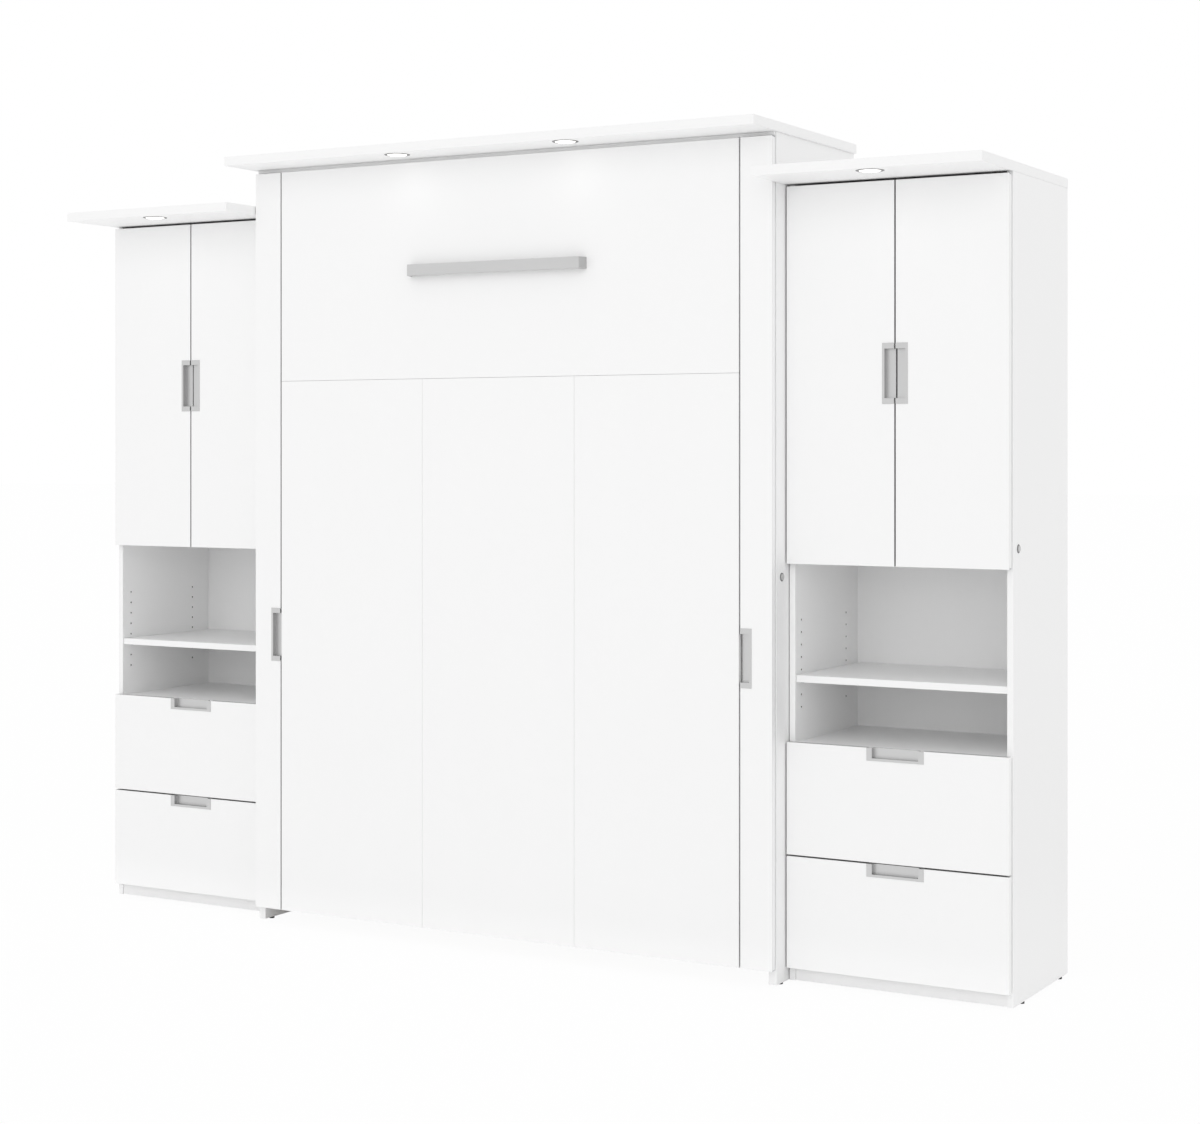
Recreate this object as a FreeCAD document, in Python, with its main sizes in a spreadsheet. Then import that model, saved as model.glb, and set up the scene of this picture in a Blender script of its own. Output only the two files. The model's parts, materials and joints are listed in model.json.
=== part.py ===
import FreeCAD, Part
import os
import re

# A fold-down wall bed for a 1372 x 1905 mm mattress, standing between two storage towers.
# Millimetres. X runs to the right, Y runs back to the wall and Z runs up.
# The origin lies on the floor under the middle of the whole set.

SIZES = {
    # The whole set
    "overall_depth": 645,
    "tower_width": 595.5,
    "tower_gap": 2.5,
    "tower_step": 128,
    "tower_setback": 73,
    # Boards
    "crown_board": 25,
    "side_board": 22,
    "carcass_board": 16,
    "front_board": 18,
    "shelf_board": 18,
    "rail_board": 18,
    "back_board": 6,
    # Crowns: how far they stand out past the bed's fronts and past the sides
    "crown_front": 130,
    "bed_crown_side": 8,
    "tower_crown_side": 1,
    # Gaps round the fronts
    "front_gap": 3,
    "pilaster_inset": 2.5,
    "tower_inset": 3.5,
    "tower_inner_inset": 1,
    "meeting_gap": 4,
    "top_gap": 11,
    "tower_top_gap": 6,
    "running_clearance": 0.05,
    "cut_past": 2,
    # Glides under the uprights
    "glide_height": 6,
    "glide_radius": 7.5,
    "bed_glide_front": 44,
    "tower_glide_front": 82,
    "glide_back": 46,
    # Bed cabinet
    "bed_front_bottom": 43,
    "pilaster_width": 89.5,
    "pilaster_pull_height": 831,
    "partition_bottom": 46,
    "wall_rail_height": 140,
    "wall_rail_bottom": 1000,
    "floor_rail_height": 100,
    "stop_rail_height": 60,
    "filler_setback": 12,
    "filler_rise": 2,
    "wall_screw_radius": 3.5,
    "wall_screw_span": 812.8,
    # Bed face and frame
    "upper_panel_height": 597.7,
    "face_seam": 0.6,
    "mattress_width": 1376,
    "mattress_length": 1910,
    "head_rail_height": 60,
    "face_overhang": 148,
    "mechanism_gap": 29,
    "bed_rail_board": 14,
    "bed_rail_depth": 100,
    "ledge_width": 20,
    "ledge_depth": 30,
    "slat_board": 12,
    "slat_width": 64,
    "slat_count": 14,
    "slat_end_gap": 0.5,
    # Pull bar, which is also the bed's foot
    "handle_length": 546,
    "handle_splay": 8,
    "handle_height": 31,
    "handle_standoff": 30,
    "handle_bar": 5,
    "handle_drop": 300,
    "floor_clearance": 1,
    # Pivot and lift
    "pivot_depth": 75,
    "pivot_radius": 8,
    "pivot_reach": 10,
    "pivot_hole_gap": 1,
    "pivot_plate_width": 90,
    "pivot_boss_radius": 14,
    "pivot_boss_length": 12,
    "plate_board": 3.5,
    "lever_board": 4,
    "lever_half": 25,
    "lever_length": 150,
    "lever_end": 16,
    "lever_front": 35,
    "stud_radius": 5,
    "anchor_back": 230,
    "anchor_height": 960,
    "anchor_plate_width": 60,
    "anchor_stud": 16,
    "strut_gap": 4.5,
    "loop_gap": 0.3,
    "eye_radius": 11,
    "eye_board": 10,
    "cylinder_radius": 9,
    "cylinder_bore": 7,
    "cylinder_length": 560,
    "cylinder_cap": 10,
    "cylinder_neck": 30,
    "strut_rod_radius": 4,
    "strut_rod_inside": 380,
    "strut_piston_length": 20,
    # Round lights in the crowns
    "light_radius": 35,
    "light_rim": 1.5,
    "light_body_radius": 30,
    "light_body_depth": 12,
    "light_lens_radius": 27,
    "light_lens_depth": 6,
    "light_lens_recess": 0.3,
    "light_fit": 0.2,
    "light_setback": 44,
    "bed_light_span": 532,
    # Round push buttons of the lights
    "button_radius": 8,
    "button_clearance": 0.1,
    "button_body": 8,
    "button_proud": 2,
    "button_travel": 1.5,
    "bezel_radius": 11,
    "bezel_board": 1.5,
    "bed_button_back": 52,
    "bed_button_height": 1037,
    "tower_button_back": 58,
    "tower_button_height": 1119,
    # Towers
    "door_bottom": 1070,
    "drawer_top": 616,
    "drawer_seam": 328,
    "drawer_gap": 4,
    "drawer_bottom": 41,
    "shelf_drop": 2,
    "toe_setback": 5,
    # Shelf pins, in holes on a 32 mm grid
    "niche_pin_rise": 86.5,
    "niche_pin_margin": 140,
    "cupboard_pin_rise": 122.5,
    "pin_pitch": 32,
    "pin_setback": 37,
    "pin_span": 288,
    "pin_radius": 2.5,
    "pin_depth": 10,
    "pin_reach": 8,
    "holes_under_shelf_count": 2,
    "cupboard_shelf_count": 2,
    "shelf_front_gap": 4,
    "shelf_back_gap": 2,
    "shelf_end_gap": 1,
    # Drawer boxes, which run on strips in grooves
    "drawer_board": 14,
    "drawer_base_board": 6,
    "drawer_base_rise": 8,
    "drawer_box_rise": 20,
    "drawer_box_height": 200,
    "drawer_box_length": 380,
    "drawer_side_gap": 1.5,
    "drawer_strip_height": 12,
    "drawer_strip_reach": 7,
    "drawer_strip_front": 2,
    "drawer_groove_depth": 6,
    "drawer_strip_gap": 0.3,
    # Recessed edge pulls
    "pull_length": 152,
    "pull_width": 32,
    "pull_end": 14.5,
    "pull_side": 6.5,
    "pull_flange": 1.2,
    "pull_wall": 1.2,
    "pull_depth": 13,
    "pull_pocket_end": 3,
    # Pivot hinges at the corners of the doors
    "hinge_offset": 6,
    "hinge_pin_radius": 2.5,
    "hinge_pin_length": 14,
    "hinge_pin_room": 1,
    "hinge_leaf": 2,
    "hinge_leaf_half": 4,
    "hinge_play": 0.5,
    "hinge_tab": 1,
    "hinge_tab_height": 14,
}

# Places that many pieces share, as expressions of the sizes
WALL = "(overall_depth/2)"
CROWN_EDGE = "(-overall_depth/2)"
BED_FRONT = "(crown_front - overall_depth/2)"
BED_CARCASS = f"({BED_FRONT} + front_board + front_gap)"
TOWER_FRONT = f"({BED_FRONT} + tower_setback)"
TOWER_CARCASS = f"({TOWER_FRONT} + front_board + front_gap)"
RAIL_FRONT = f"({WALL} - rail_board)"
BACK_FRONT = f"({RAIL_FRONT} - back_board)"
BAY_BOTTOM = "(head_rail_height + front_board)"
BAY_TOP = f"({BAY_BOTTOM} + mattress_length)"
FACE_TOP = f"({BAY_TOP} + front_board + face_overhang)"
SEAM = f"({FACE_TOP} - upper_panel_height - face_seam/2)"
BED_SOFFIT = f"({FACE_TOP} + top_gap)"
BED_TOP = f"({BED_SOFFIT} + crown_board)"
TOWER_TOP = f"({BED_TOP} - tower_step)"
TOWER_SOFFIT = f"({TOWER_TOP} - crown_board)"
RAIL_OUT = "(mattress_width/2 + bed_rail_board)"
PILASTER_IN = f"({RAIL_OUT} + mechanism_gap)"
PILASTER_OUT = f"({PILASTER_IN} + pilaster_width)"
BED_HALF = f"({PILASTER_OUT} + pilaster_inset)"
BED_INSIDE = f"({BED_HALF} - side_board)"
FACE_HALF = f"({PILASTER_IN} - meeting_gap)"
FACE_BACK = f"({BED_FRONT} + front_board)"
TOWER_IN = f"({BED_HALF} + tower_gap)"
TOWER_OUT = f"({TOWER_IN} + tower_width)"
FRONTS_IN = f"({TOWER_IN} + tower_inner_inset)"
FRONTS_OUT = f"({TOWER_OUT} - tower_inset)"
TOWER_MID = f"(({FRONTS_IN} + {FRONTS_OUT})/2)"
BAY_IN = f"({TOWER_IN} + carcass_board)"
BAY_OUT = f"({TOWER_OUT} - carcass_board)"
DOOR_TOP = f"({TOWER_SOFFIT} - tower_top_gap)"
NICHE_FLOOR = "(drawer_top - shelf_drop)"
NICHE_TOP = "(door_bottom + shelf_drop)"
CUPBOARD_FLOOR = f"({NICHE_TOP} + shelf_board)"
CUPBOARD_HEIGHT = f"({TOWER_SOFFIT} - {CUPBOARD_FLOOR})"
PIVOT_Y = f"({BED_FRONT} + pivot_depth)"
PIVOT_Z = "(pivot_depth + handle_standoff + floor_clearance)"
ANCHOR_Y = f"({PIVOT_Y} + anchor_back)"
STRUT_X = f"({PILASTER_IN} - plate_board - strut_gap - eye_board/2)"
STRUT_RUN = "(anchor_back - lever_length)"
STRUT_DROP = f"(anchor_height - {PIVOT_Z})"
STRUT_LENGTH = f"sqrt({STRUT_RUN}^2 + {STRUT_DROP}^2)"

SIDES = {"left": -1, "right": 1}
WORD = re.compile(r"\b(" + "|".join(sorted(SIZES, key=len, reverse=True)) + r")\b")
ALONG = {
    "x": FreeCAD.Rotation(FreeCAD.Vector(0, 1, 0), 90),
    "y": FreeCAD.Rotation(FreeCAD.Vector(1, 0, 0), -90),
    "z": FreeCAD.Rotation(),
}

doc = FreeCAD.newDocument("wall_bed")
sheet = doc.addObject("Spreadsheet::Sheet", "sizes")
for row, (alias, value) in enumerate(SIZES.items(), start=1):
    sheet.set(f"A{row}", alias)
    sheet.set(f"B{row}", str(value))
    sheet.setAlias(f"B{row}", alias)
doc.recompute()

nodes = []


def keep(piece):
    """Marks a finished piece as one of the set's own nodes."""
    nodes.append(piece)
    return piece


def bind(piece, prop, text):
    """Ties one property of a piece to an expression in the sheet's words."""
    piece.setExpression(prop, WORD.sub(r"sizes.\1", text))


def count(text):
    """A whole number of copies, worked out from the sheet."""
    return int(sheet.evalExpression(WORD.sub(r"sizes.\1", text)))


def box(name, x, y, z):
    """A board or block between two ends on each axis."""
    made = doc.addObject("Part::Box", name)
    for size, axis, (low, high) in zip(("Length", "Width", "Height"), "xyz", (x, y, z)):
        bind(made, size, f"({high}) - ({low})")
        bind(made, f"Placement.Base.{axis}", low)
    return made


def round_bar(name, axis, radius, x, y, z):
    """A round bar along one axis, where its place is a pair of ends and the other two are points."""
    made = doc.addObject("Part::Cylinder", name)
    made.Placement = FreeCAD.Placement(FreeCAD.Vector(), ALONG[axis])
    bind(made, "Radius", radius)
    for letter, place in zip("xyz", (x, y, z)):
        if letter == axis:
            low, high = place
            bind(made, "Height", f"({high}) - ({low})")
            bind(made, f"Placement.Base.{letter}", low)
        else:
            bind(made, f"Placement.Base.{letter}", place)
    return made


def group(name, pieces):
    """Several separate solids under one name."""
    made = doc.addObject("Part::Compound", name)
    made.Links = pieces
    return made


def fuse(name, *pieces):
    """Pieces that are welded or moulded into one solid."""
    made = doc.addObject("Part::MultiFuse", name)
    made.Shapes = pieces
    made.Refine = True
    return made


def cut(name, base, *tools):
    """A piece with pockets, notches or holes taken out of it."""
    made = doc.addObject("Part::Cut", name)
    made.Base = base
    made.Tool = tools[0] if len(tools) == 1 else group(name + "_tools", list(tools))
    made.Refine = True
    return made


def across(side, low, high):
    """Two ends on X, mirrored for the left-hand side."""
    return (low, high) if side > 0 else (f"-({high})", f"-({low})")


def at(side, x):
    """One place on X, mirrored for the left-hand side."""
    return x if side > 0 else f"-({x})"


def from_edge(edge, into, near, far):
    """Two ends measured from an edge into a board."""
    if into > 0:
        return (f"{edge} + {near}", f"{edge} + {far}")
    return (f"{edge} - ({far})", f"{edge} - ({near})")


def about(centre, half):
    """Two ends at equal distances from a centre."""
    return (f"{centre} - {half}", f"{centre} + {half}")


# Crowns: thick slabs that stand out well past the fronts, with round pockets for the lights
def light_pocket(name, x, soffit):
    y = f"{CROWN_EDGE} + light_setback"
    z = (f"{soffit} - cut_past", f"{soffit} + light_body_depth")
    return round_bar(name, "z", "light_body_radius", x, y, z)


def make_crowns():
    slab = box(
        "bed_crown_slab",
        about("0", f"({BED_HALF} + bed_crown_side)"),
        (CROWN_EDGE, WALL),
        (BED_SOFFIT, BED_TOP),
    )
    pockets = [
        light_pocket(f"bed_crown_{word}", at(side, "bed_light_span/2"), BED_SOFFIT)
        for word, side in SIDES.items()
    ]
    keep(cut("bed_crown", slab, *pockets))
    for word, side in SIDES.items():
        slab = box(
            f"{word}_tower_crown_slab",
            across(side, BED_HALF, f"{TOWER_OUT} + tower_crown_side"),
            (CROWN_EDGE, WALL),
            (TOWER_SOFFIT, TOWER_TOP),
        )
        pocket = light_pocket(f"{word}_tower_crown_pocket", at(side, TOWER_MID), TOWER_SOFFIT)
        keep(cut(f"{word}_tower_crown", slab, pocket))


# Lights: a turned metal housing with a rim under the soffit, and a domed lens disc inside it
def light(name, x, soffit):
    y = f"{CROWN_EDGE} + light_setback"
    rim = round_bar(f"{name}_rim", "z", "light_radius", x, y, (f"{soffit} - light_rim", soffit))
    body = round_bar(
        f"{name}_body", "z", "light_body_radius - light_fit", x, y,
        (soffit, f"{soffit} + light_body_depth - light_fit"),
    )
    mouth = round_bar(
        f"{name}_mouth", "z", "light_lens_radius", x, y,
        (f"{soffit} - light_rim - cut_past", f"{soffit} + light_lens_depth"),
    )
    lens = round_bar(
        f"{name}_lens", "z", "light_lens_radius - running_clearance", x, y,
        (f"{soffit} - light_rim + light_lens_recess", f"{soffit} + light_lens_depth"),
    )
    return cut(f"{name}_housing", fuse(f"{name}_turned", rim, body), mouth), lens


def make_lights():
    made = []
    for word, side in SIDES.items():
        made.append(light(f"bed_light_{word}", at(side, "bed_light_span/2"), BED_SOFFIT))
        made.append(light(f"tower_light_{word}", at(side, TOWER_MID), TOWER_SOFFIT))
    keep(group("light_housings", [housing for housing, lens in made]))
    keep(group("light_lenses", [lens for housing, lens in made]))


# Push buttons: a cap that slides in a hole in the side board, inside a thin ring
BED_BUTTON = (f"({BED_FRONT} + bed_button_back)", "bed_button_height")
TOWER_BUTTON = (f"({TOWER_FRONT} + tower_button_back)", "tower_button_height")


def button_hole(name, side, face, y, z):
    ends = across(side, f"{face} - button_body - button_travel - cut_past", f"{face} + cut_past")
    return round_bar(name, "x", "button_radius + button_clearance", ends, y, z)


def push_button(name, side, face, y, z):
    ring_ends = across(side, face, f"{face} + bezel_board")
    past_ends = across(side, f"{face} - cut_past", f"{face} + bezel_board + cut_past")
    ring = round_bar(f"{name}_ring", "x", "bezel_radius", ring_ends, y, z)
    hole = round_bar(f"{name}_ring_hole", "x", "button_radius + button_clearance", past_ends, y, z)
    cap_ends = across(side, f"{face} - button_body", f"{face} + bezel_board + button_proud")
    keep(round_bar(name, "x", "button_radius", cap_ends, y, z))
    return cut(f"{name}_bezel", ring, hole)


def make_buttons():
    bezels = [push_button("bed_button", 1, BED_HALF, *BED_BUTTON)]
    for word, side in SIDES.items():
        bezels.append(push_button(f"{word}_tower_button", side, TOWER_OUT, *TOWER_BUTTON))
    keep(group("button_bezels", bezels))


# Bed cabinet: two thick sides, two partitions on short floor boards, which carry the pivots, a thin back and
# rails. A filler strip under the crown, set back from the fronts, closes the gap above them.
def make_bed_cabinet():
    upright = ("glide_height", BED_SOFFIT)
    left = box("bed_side_left", across(-1, BED_INSIDE, BED_HALF), (BED_CARCASS, WALL), upright)
    keep(left)
    right = box("bed_side_right_board", across(1, BED_INSIDE, BED_HALF), (BED_CARCASS, WALL), upright)
    keep(cut("bed_side_right", right, button_hole("bed_side_button_hole", 1, BED_HALF, *BED_BUTTON)))
    partitions = []
    beside = (f"{PILASTER_IN} + carcass_board", BED_INSIDE)
    inner_y = (BED_CARCASS, BACK_FRONT)
    for word, side in SIDES.items():
        board = box(
            f"bed_partition_{word}_board",
            across(side, PILASTER_IN, f"{PILASTER_IN} + carcass_board"),
            inner_y,
            ("partition_bottom", BED_SOFFIT),
        )
        floor_z = ("partition_bottom", "partition_bottom + carcass_board")
        partitions.append(box(f"pilaster_floor_{word}", across(side, *beside), inner_y, floor_z))
        hole_end = f"{PILASTER_IN} + pivot_reach + pivot_hole_gap"
        hole_ends = across(side, f"{PILASTER_IN} - cut_past", hole_end)
        hole = round_bar(
            f"bed_partition_{word}_hole", "x", "pivot_radius + pivot_hole_gap", hole_ends, PIVOT_Y, PIVOT_Z
        )
        partitions.append(cut(f"bed_partition_{word}", board, hole))
    keep(group("bed_partitions", partitions))
    inside = about("0", BED_INSIDE)
    keep(box("bed_back_panel", inside, (BACK_FRONT, RAIL_FRONT), upright))
    floor_rail_z = ("glide_height", "glide_height + floor_rail_height")
    rails = [box("wall_rail_floor", inside, (RAIL_FRONT, WALL), floor_rail_z)]
    for word, bottom in (("upper", f"({BED_SOFFIT} - wall_rail_height)"), ("middle", "wall_rail_bottom")):
        rail_z = (bottom, f"{bottom} + wall_rail_height")
        rail = box(f"wall_rail_{word}_board", inside, (RAIL_FRONT, WALL), rail_z)
        holes = [
            round_bar(
                f"wall_rail_{word}_hole_{name}", "y", "wall_screw_radius", at(side, "wall_screw_span/2"),
                (f"{RAIL_FRONT} - cut_past", f"{WALL} + cut_past"), f"{bottom} + wall_rail_height/2",
            )
            for name, side in SIDES.items()
        ]
        rails.append(cut(f"wall_rail_{word}", rail, *holes))
    keep(group("wall_rails", rails))
    stop_y = (BED_CARCASS, f"{BED_CARCASS} + carcass_board")
    stop_z = (f"{BED_SOFFIT} - stop_rail_height", BED_SOFFIT)
    stops = [box("stop_rail_middle", about("0", PILASTER_IN), stop_y, stop_z)]
    stops += [box(f"stop_rail_{word}", across(side, *beside), stop_y, stop_z) for word, side in SIDES.items()]
    filler_y = (f"{BED_FRONT} + filler_setback", BED_CARCASS)
    filler_z = (f"{FACE_TOP} + filler_rise", BED_SOFFIT)
    stops.append(box("stop_rail_filler", about("0", PILASTER_OUT), filler_y, filler_z))
    keep(group("stop_rails", stops))


# Recessed edge pulls: a pressed metal cup with a flange on three sides, open at the board's edge.
# The pocket in the board is longer than the cup, and hollow behind the flange's ends.
def pull_parts(name, edge, into, centre, front, upright, side):
    def part(suffix, near, far, y, end):
        over = from_edge(edge, into, near, far)
        along = about(centre, f"(pull_length/2 - {end})")
        if upright:
            return box(f"{name}_{suffix}", across(side, *over), y, along)
        return box(f"{name}_{suffix}", across(side, *along), y, over)

    inside = "(pull_width - pull_side)"
    back = f"{front} + pull_depth"
    flange = part("flange", "0", "pull_width", (f"{front} - pull_flange", front), "0")
    cup = part("cup", "0", f"({inside} + pull_wall)", (front, back), "(pull_end - pull_wall)")
    hollow_y = (f"{front} - pull_flange - cut_past", f"{back} - pull_wall")
    hollow = part("hollow", "(-cut_past)", inside, hollow_y, "pull_end")
    notch_y = (f"{front} - cut_past", back)
    notch = part("notch", "(-cut_past)", f"({inside} + pull_wall)", notch_y, "pull_pocket_end")
    keep(cut(name, fuse(f"{name}_pressed", flange, cup), hollow))
    return notch


# Pivot hinges: a cranked leaf on the upright's front edge, let into the door's corner, with a pin
def hinge(name, side, edge, into, front, carcass, z, up):
    axis_x = f"({edge} + {into}*hinge_offset)"
    axis_y = f"({front} + hinge_offset)"

    def rise(low, high):
        return (f"{z} + {low}", f"{z} + {high}") if up > 0 else (f"{z} - ({high})", f"{z} - ({low})")

    width = across(side, *about(axis_x, "hinge_leaf_half"))
    centre = at(side, axis_x)
    flat = rise("hinge_play", "hinge_play + hinge_leaf")
    tab = rise("hinge_play", "hinge_tab_height")
    tip = "hinge_play + hinge_leaf + hinge_pin_length"
    bracket = fuse(
        f"{name}_bracket",
        box(f"{name}_leaf", width, (axis_y, carcass), flat),
        round_bar(f"{name}_knuckle", "z", "hinge_leaf_half", centre, axis_y, flat),
        box(f"{name}_tab", width, (f"{carcass} - hinge_tab", carcass), tab),
        round_bar(f"{name}_pin", "z", "hinge_pin_radius", centre, axis_y, rise("hinge_play", tip)),
    )
    mortise_width = "(hinge_offset + hinge_leaf_half + hinge_play)"
    mortise = box(
        f"{name}_mortise",
        across(side, *from_edge(edge, into, "(-cut_past)", mortise_width)),
        (f"{axis_y} - hinge_leaf_half - hinge_play", f"{front} + front_board + cut_past"),
        rise("(-cut_past)", "2*hinge_play + hinge_leaf"),
    )
    socket = round_bar(
        f"{name}_socket", "z", "hinge_pin_radius + running_clearance", centre, axis_y,
        rise("hinge_play", f"{tip} + hinge_pin_room"),
    )
    return bracket, fuse(f"{name}_pocket", mortise, socket)


def door(name, side, hinge_edge, pull_edge, into, front, carcass, z, pull_height):
    """One door, its pull and its two hinge brackets; into points from the hinge edge to the pull edge."""
    low, high = (hinge_edge, pull_edge) if into > 0 else (pull_edge, hinge_edge)
    board = box(f"{name}_board", across(side, low, high), (front, f"{front} + front_board"), z)
    notch = pull_parts(f"{name}_pull", pull_edge, -into, pull_height, front, True, side)
    bottom, bottom_pocket = hinge(f"{name}_lower_hinge", side, hinge_edge, into, front, carcass, z[0], 1)
    top, top_pocket = hinge(f"{name}_upper_hinge", side, hinge_edge, into, front, carcass, z[1], -1)
    keep(cut(name, board, notch, bottom_pocket, top_pocket))
    return [bottom, top]


def make_doors():
    brackets = []
    bed_z = ("bed_front_bottom", FACE_TOP)
    tower_z = ("door_bottom", DOOR_TOP)
    pull_height = f"((door_bottom + {DOOR_TOP})/2)"
    for word, side in SIDES.items():
        brackets += door(
            f"{word}_pilaster_door", side, PILASTER_OUT, PILASTER_IN, -1,
            BED_FRONT, BED_CARCASS, bed_z, "pilaster_pull_height",
        )
        brackets += door(
            f"{word}_tower_inner_door", side,
            FRONTS_IN, f"({TOWER_MID} - meeting_gap/2)", 1,
            TOWER_FRONT, TOWER_CARCASS, tower_z, pull_height,
        )
        brackets += door(
            f"{word}_tower_outer_door", side,
            FRONTS_OUT, f"({TOWER_MID} + meeting_gap/2)", -1,
            TOWER_FRONT, TOWER_CARCASS, tower_z, pull_height,
        )
    keep(group("hinge_brackets", brackets))


# Bed face: one wide panel above three upright ones, all fixed to the frame behind
def make_bed_face():
    y = (BED_FRONT, FACE_BACK)
    keep(box("bed_upper_panel", about("0", FACE_HALF), y, (f"{SEAM} + face_seam/2", FACE_TOP)))
    z = ("bed_front_bottom", f"{SEAM} - face_seam/2")
    third = f"({FACE_HALF}/3)"
    keep(
        group(
            "bed_lower_panels",
            [
                box("bed_lower_panel_left", (f"-{FACE_HALF}", f"-{third} - face_seam/2"), y, z),
                box("bed_lower_panel_middle", about("0", f"({third} - face_seam/2)"), y, z),
                box("bed_lower_panel_right", (f"{third} + face_seam/2", FACE_HALF), y, z),
            ],
        )
    )


# Pull bar: flat steel with its two ends bent back to the panel, leaning out a little
def make_handle():
    z = about(f"({FACE_TOP} - handle_drop)", "handle_height/2")
    front = f"({BED_FRONT} - handle_standoff)"
    bar = box("bed_handle_bar", about("0", "handle_length/2"), (front, f"{front} + handle_bar"), z)
    ends = []
    for word, side in SIDES.items():
        end = doc.addObject("Part::Wedge", f"bed_handle_end_{word}")
        tip = across(side, "handle_length/2 - handle_bar", "handle_length/2")
        foot = across(side, "handle_length/2 + handle_splay - handle_bar", "handle_length/2 + handle_splay")
        for prop, text in zip(("Xmin", "Xmax", "X2min", "X2max"), tip + foot):
            bind(end, prop, text)
        for prop, text in zip(("Zmin", "Zmax", "Z2min", "Z2max"), z + z):
            bind(end, prop, text)
        bind(end, "Ymin", front)
        bind(end, "Ymax", BED_FRONT)
        ends.append(end)
    keep(fuse("bed_handle", bar, *ends))


# Bed frame: side rails with ledges, head and foot rails, and slats across the ledges
def make_bed_frame():
    y = (FACE_BACK, f"{FACE_BACK} + bed_rail_depth")
    rails = []
    for word, side in SIDES.items():
        rail_x = across(side, "mattress_width/2", RAIL_OUT)
        rails.append(box(f"bed_rail_{word}", rail_x, y, ("head_rail_height", f"{BAY_TOP} + front_board")))
        ledge_x = across(side, "mattress_width/2 - ledge_width", "mattress_width/2")
        ledge_y = (FACE_BACK, f"{FACE_BACK} + ledge_depth")
        rails.append(box(f"bed_ledge_{word}", ledge_x, ledge_y, (BAY_BOTTOM, BAY_TOP)))
    keep(group("bed_side_rails", rails))
    x = about("0", "mattress_width/2")
    head = box("bed_head_rail", x, y, ("head_rail_height", BAY_BOTTOM))
    foot = box("bed_foot_rail", x, y, (BAY_TOP, f"{BAY_TOP} + front_board"))
    keep(group("bed_end_rails", [head, foot]))
    slats = []
    slat_x = about("0", "(mattress_width/2 - slat_end_gap)")
    slat_y = (f"{FACE_BACK} + ledge_depth", f"{FACE_BACK} + ledge_depth + slat_board")
    for number in range(count("slat_count")):
        middle = f"({BAY_BOTTOM} + mattress_length*({number} + 0.5)/slat_count)"
        slats.append(box(f"bed_slat_{number + 1}", slat_x, slat_y, about(middle, "slat_width/2")))
    keep(group("bed_slats", slats))


# Pivot and lift: a steel arm on each rail with its pivot pin and stud, and plates on the uprights
def make_pivots():
    arms = []
    plates = []
    for word, side in SIDES.items():
        plate = box(
            f"bed_lift_arm_{word}_plate",
            across(side, RAIL_OUT, f"{RAIL_OUT} + lever_board"),
            (f"{PIVOT_Y} - lever_front", f"{PIVOT_Y} + lever_length + lever_end"),
            about(PIVOT_Z, "lever_half"),
        )
        pin_ends = across(side, RAIL_OUT, f"{PILASTER_IN} + pivot_reach")
        pin = round_bar(f"bed_lift_arm_{word}_pin", "x", "pivot_radius", pin_ends, PIVOT_Y, PIVOT_Z)
        stud_ends = across(side, RAIL_OUT, f"{STRUT_X} - eye_board/2 - loop_gap")
        stud = round_bar(
            f"bed_lift_arm_{word}_stud", "x", "stud_radius", stud_ends, f"{PIVOT_Y} + lever_length", PIVOT_Z
        )
        arms.append(fuse(f"bed_lift_arm_{word}", plate, pin, stud))
        flat = box(
            f"pivot_plate_{word}_flat",
            across(side, f"{PILASTER_IN} - plate_board", PILASTER_IN),
            about(PIVOT_Y, "pivot_plate_width/2"),
            about(PIVOT_Z, "pivot_plate_width/2"),
        )
        boss_ends = across(side, f"{PILASTER_IN} - pivot_boss_length", PILASTER_IN)
        boss = round_bar(f"pivot_plate_{word}_boss", "x", "pivot_boss_radius", boss_ends, PIVOT_Y, PIVOT_Z)
        bore_start = f"{PILASTER_IN} - pivot_boss_length - cut_past"
        bore_ends = across(side, bore_start, f"{PILASTER_IN} + cut_past")
        bore = round_bar(
            f"pivot_plate_{word}_bore", "x", "pivot_radius + running_clearance", bore_ends, PIVOT_Y, PIVOT_Z
        )
        plates.append(cut(f"pivot_plate_{word}", fuse(f"pivot_plate_{word}_welded", flat, boss), bore))
    keep(group("bed_lift_arms", arms))
    keep(group("pivot_plates", plates))


# Gas struts, drawn hanging straight down from their upper eyes and then leaned to the arms' studs
def lean(struts):
    struts.Placement = FreeCAD.Placement(FreeCAD.Vector(), FreeCAD.Rotation(FreeCAD.Vector(1, 0, 0), -1))
    bind(struts, "Placement.Base.y", ANCHOR_Y)
    bind(struts, "Placement.Base.z", "anchor_height")
    bind(struts, "Placement.Rotation.Angle", f"-atan({STRUT_RUN}/{STRUT_DROP})")
    return struts


def strut_cylinder(word, side):
    x = at(side, STRUT_X)
    eye_ends = across(side, *about(STRUT_X, "eye_board/2"))
    past_ends = across(side, *about(STRUT_X, "(eye_board/2 + cut_past)"))
    name = f"strut_cylinder_{word}"
    solid = fuse(
        f"{name}_solid",
        round_bar(f"{name}_eye", "x", "eye_radius", eye_ends, "0", "0"),
        round_bar(f"{name}_tube", "z", "cylinder_radius", x, "0", ("-cylinder_length", "-eye_radius/2")),
    )
    guide = ("-cylinder_length - cut_past", "-cylinder_length + cylinder_cap")
    hollow = fuse(
        f"{name}_hollow",
        round_bar(f"{name}_guide", "z", "strut_rod_radius + running_clearance", x, "0", guide),
        round_bar(f"{name}_bore", "z", "cylinder_bore", x, "0", (guide[1], "-cylinder_neck")),
    )
    eye_hole = round_bar(f"{name}_eye_hole", "x", "stud_radius + running_clearance", past_ends, "0", "0")
    return cut(name, solid, hollow, eye_hole)


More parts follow.
